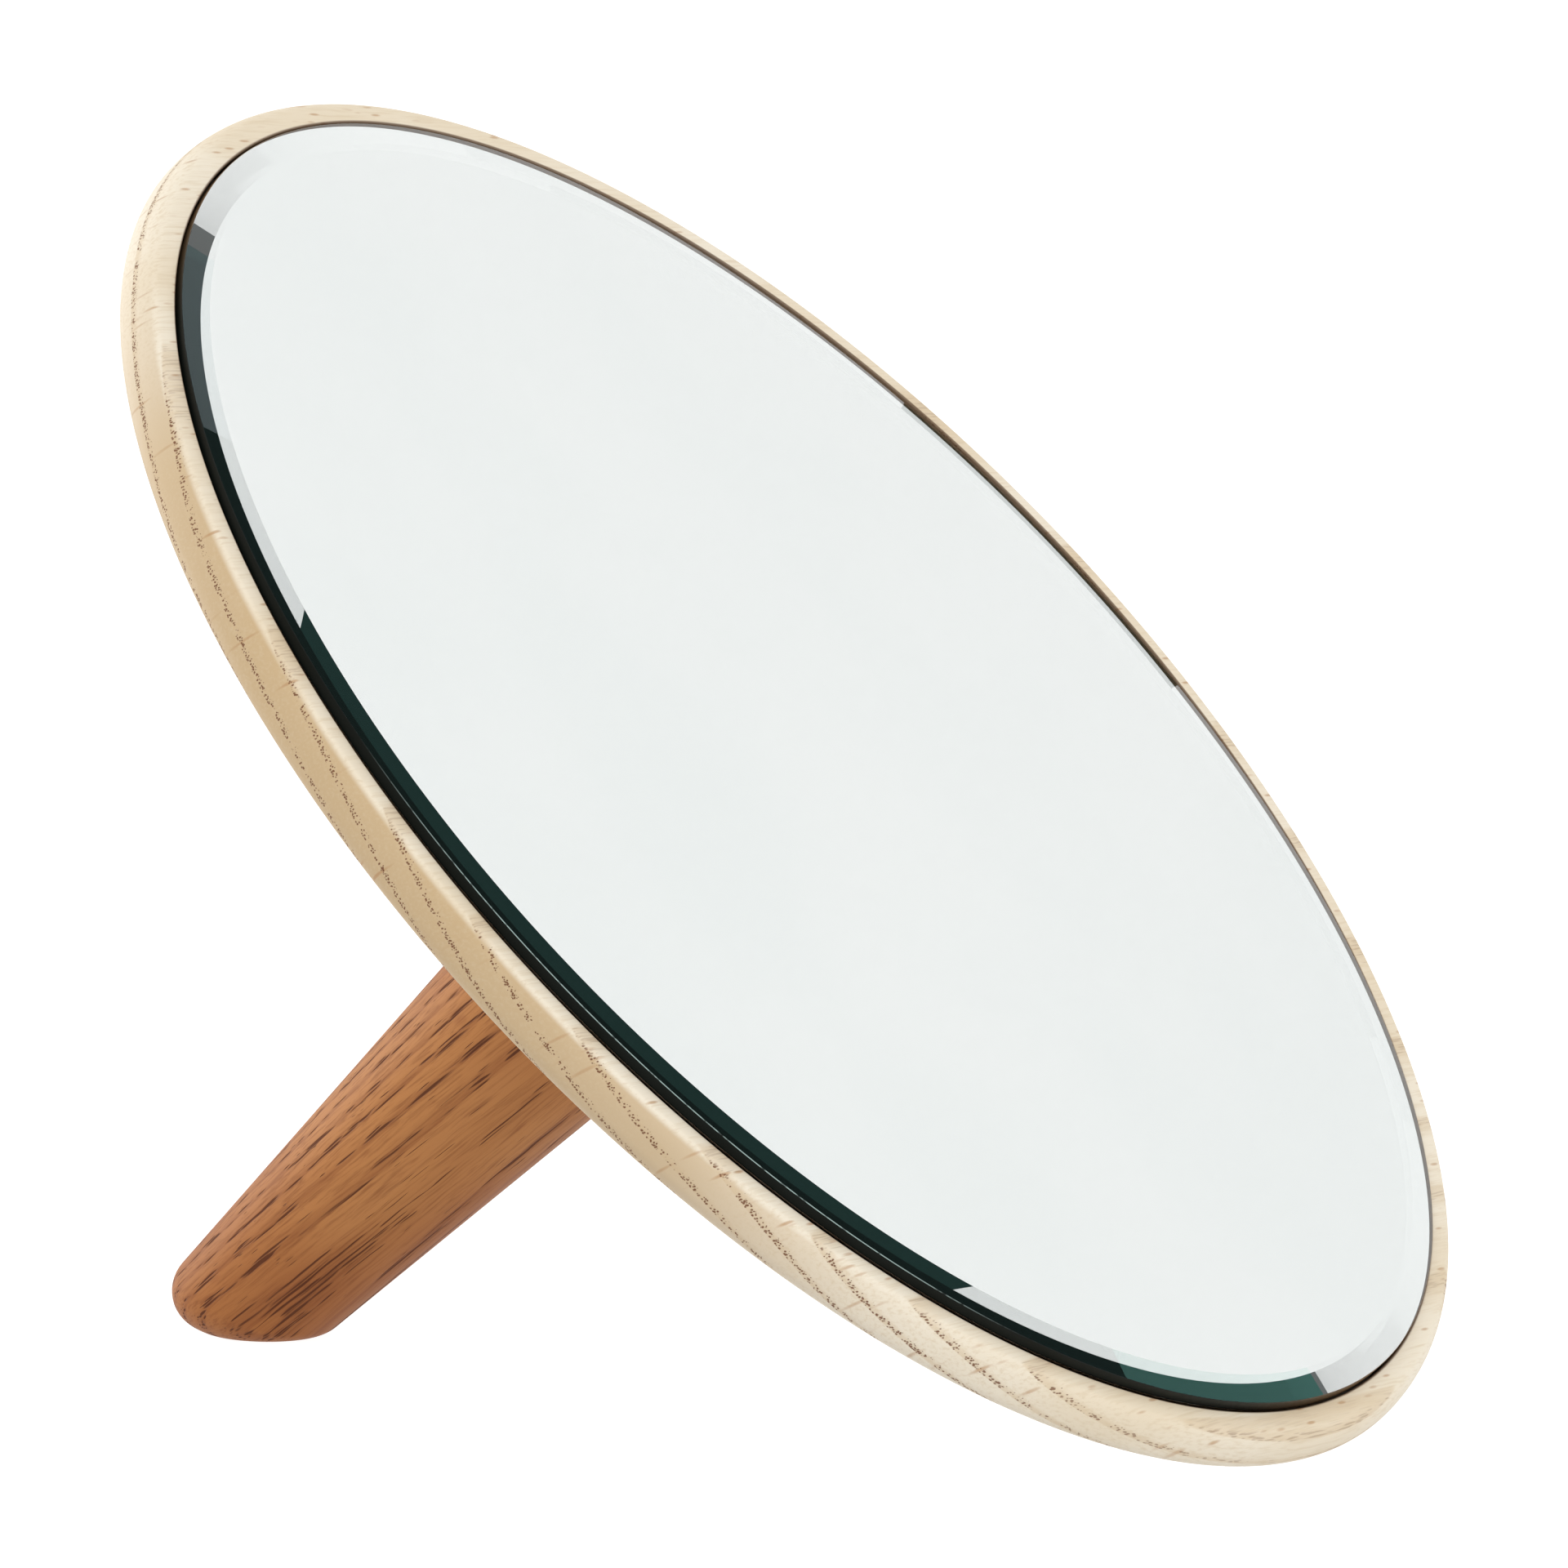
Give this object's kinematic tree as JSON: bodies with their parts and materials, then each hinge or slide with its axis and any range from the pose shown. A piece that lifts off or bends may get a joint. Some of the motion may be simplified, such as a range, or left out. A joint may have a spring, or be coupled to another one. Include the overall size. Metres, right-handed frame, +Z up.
{
  "type": "hand mirror",
  "caption": "Round bevelled mirror in a turned oak disc, with a tapered oak peg square to its back that is both handle and rear leg, so it stands tilted on a table.",
  "frame": {"origin": "on the table under the middle of the bounding box, as it stands", "axes": "+Z up; the mirror faces -Y and up; X runs across the disc; the peg runs back and down towards +Y"},
  "size_m": [0.22, 0.1688, 0.162],
  "materials": {
    "oak_pale": "pale soaped oak, satin, open pores",
    "oak_warm": "oiled oak, warm orange brown, satin",
    "glass": "polished float glass with a polished bevel",
    "silver": "silvering with its paint coat and backing film",
    "foam_tape": "white double-sided foam mounting tape",
    "zinc_screw": "zinc plated steel",
    "beech": "plain beech dowel"
  },
  "bodies": {
    "root": {"oak_disc": "oak_pale", "mirror_glass": "glass", "silver_coat": "silver", "tape_1": "foam_tape", "tape_2": "foam_tape", "tape_3": "foam_tape", "tape_4": "foam_tape", "tape_5": "foam_tape", "tape_6": "foam_tape", "handle_peg": "oak_warm", "handle_screw": "zinc_screw", "dowel_1": "beech", "dowel_2": "beech"}
  },
  "joints": []
}
